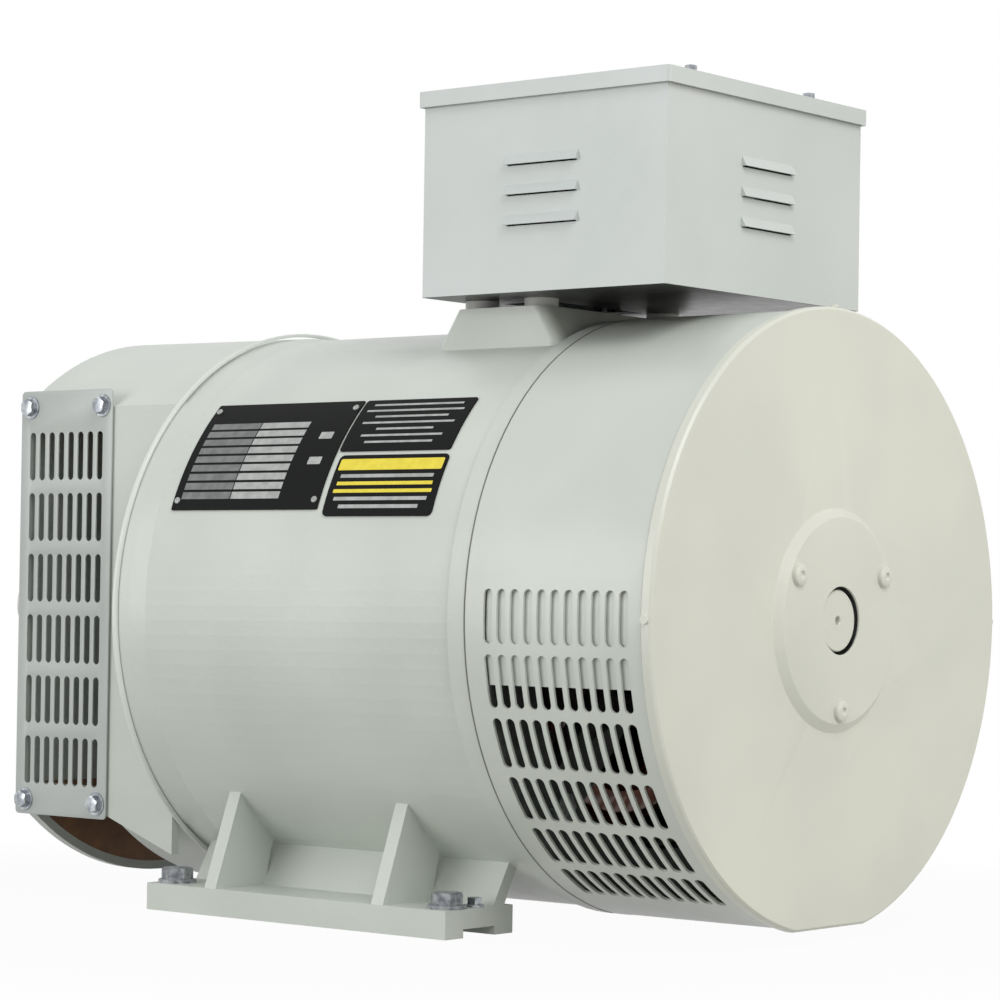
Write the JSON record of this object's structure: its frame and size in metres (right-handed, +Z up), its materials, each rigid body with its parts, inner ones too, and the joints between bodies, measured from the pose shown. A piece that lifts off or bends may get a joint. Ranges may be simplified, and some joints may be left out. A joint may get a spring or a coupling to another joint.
{
  "type": "generator alternator head",
  "caption": "Foot-mounted brush-type alternator head: cast frame with rotor, grilled drive-end bell, slotted rear cover and a louvred control box on its neck.",
  "frame": {"origin": "centre of the four foot bolt holes, on the floor plane", "axes": "+X along the shaft towards the rear cover, the drive shaft points along -X, +Z up"},
  "size_m": [0.652, 0.3552, 0.4899],
  "materials": {
    "pale_grey_paint": "satin enamel on cast iron and sheet steel",
    "zinc_plated_steel": "bright zinc plating",
    "grille_plate": "thin grey coat on perforated sheet",
    "bearing_steel": "ground",
    "turned_steel": "turned and ground",
    "core_steel": "varnished laminations",
    "varnished_copper": "varnished windings",
    "cast_aluminium": "as cast",
    "slip_ring_brass": "turned",
    "insulating_board": "moulded thermoset",
    "carbon": "pressed graphite",
    "spring_steel": "plain",
    "regulator_heatsink": "black anodised",
    "grommet_rubber": "matt",
    "black_plate": "satin black, blank"
  },
  "bodies": {
    "stator": {"air_baffle": "pale_grey_paint", "bearing_cap_screws": "zinc_plated_steel", "bell_bolts": "zinc_plated_steel", "box_bolts": "zinc_plated_steel", "box_lid": "pale_grey_paint", "box_spacers": "zinc_plated_steel", "bracket_bolts": "zinc_plated_steel", "brush_holder": "insulating_board", "cable_grommet": "grommet_rubber", "caution_plate": "black_plate", "control_box": "pale_grey_paint", "cover_backing_ring": "pale_grey_paint", "cover_screws": "zinc_plated_steel", "drive_end_bearing_cap": "pale_grey_paint", "drive_end_bell": "pale_grey_paint", "earth_screw": "zinc_plated_steel", "fan_shroud": "pale_grey_paint", "frame": "pale_grey_paint", "front_bearing_outer_ring": "bearing_steel", "front_bearing_seals": "grommet_rubber", "front_brush_spring": "spring_steel", "grille_far": "grille_plate", "grille_near": "grille_plate", "grille_screws": "zinc_plated_steel", "instruction_plate": "black_plate", "lid_screws": "zinc_plated_steel", "lip_screws": "zinc_plated_steel", "rating_plate": "black_plate", "rear_bearing_outer_ring": "bearing_steel", "rear_bearing_seals": "grommet_rubber", "rear_bracket": "pale_grey_paint", "rear_brush_spring": "spring_steel", "rear_cover_band": "pale_grey_paint", "rear_cover_cap": "pale_grey_paint", "stator_core": "core_steel", "stator_windings": "varnished_copper", "terminal_board": "insulating_board", "terminal_studs": "zinc_plated_steel", "voltage_regulator": "regulator_heatsink"},
    "rotor": {"shaft": "turned_steel", "rotor_core": "core_steel", "field_windings": "varnished_copper", "fan": "cast_aluminium", "slip_ring_hub": "insulating_board", "slip_rings": "slip_ring_brass", "front_bearing_inner_ring": "bearing_steel", "rear_bearing_inner_ring": "bearing_steel"},
    "front_brush": {"front_brush": "carbon"},
    "rear_brush": {"rear_brush": "carbon"}
  },
  "joints": [
    {"name": "rotor_spin", "type": "hinge", "parent": "stator", "child": "rotor", "pos_m": [0, 0, 0.18], "axis": [1, 0, 0], "continuous": true},
    {"name": "front_brush_slide", "type": "slide", "parent": "stator", "child": "front_brush", "axis": [0, 0, 1], "range_m": [0, 0.005], "deforming": ["front_brush_spring"]},
    {"name": "rear_brush_slide", "type": "slide", "parent": "stator", "child": "rear_brush", "axis": [0, 0, 1], "range_m": [0, 0.005], "deforming": ["rear_brush_spring"]}
  ]
}
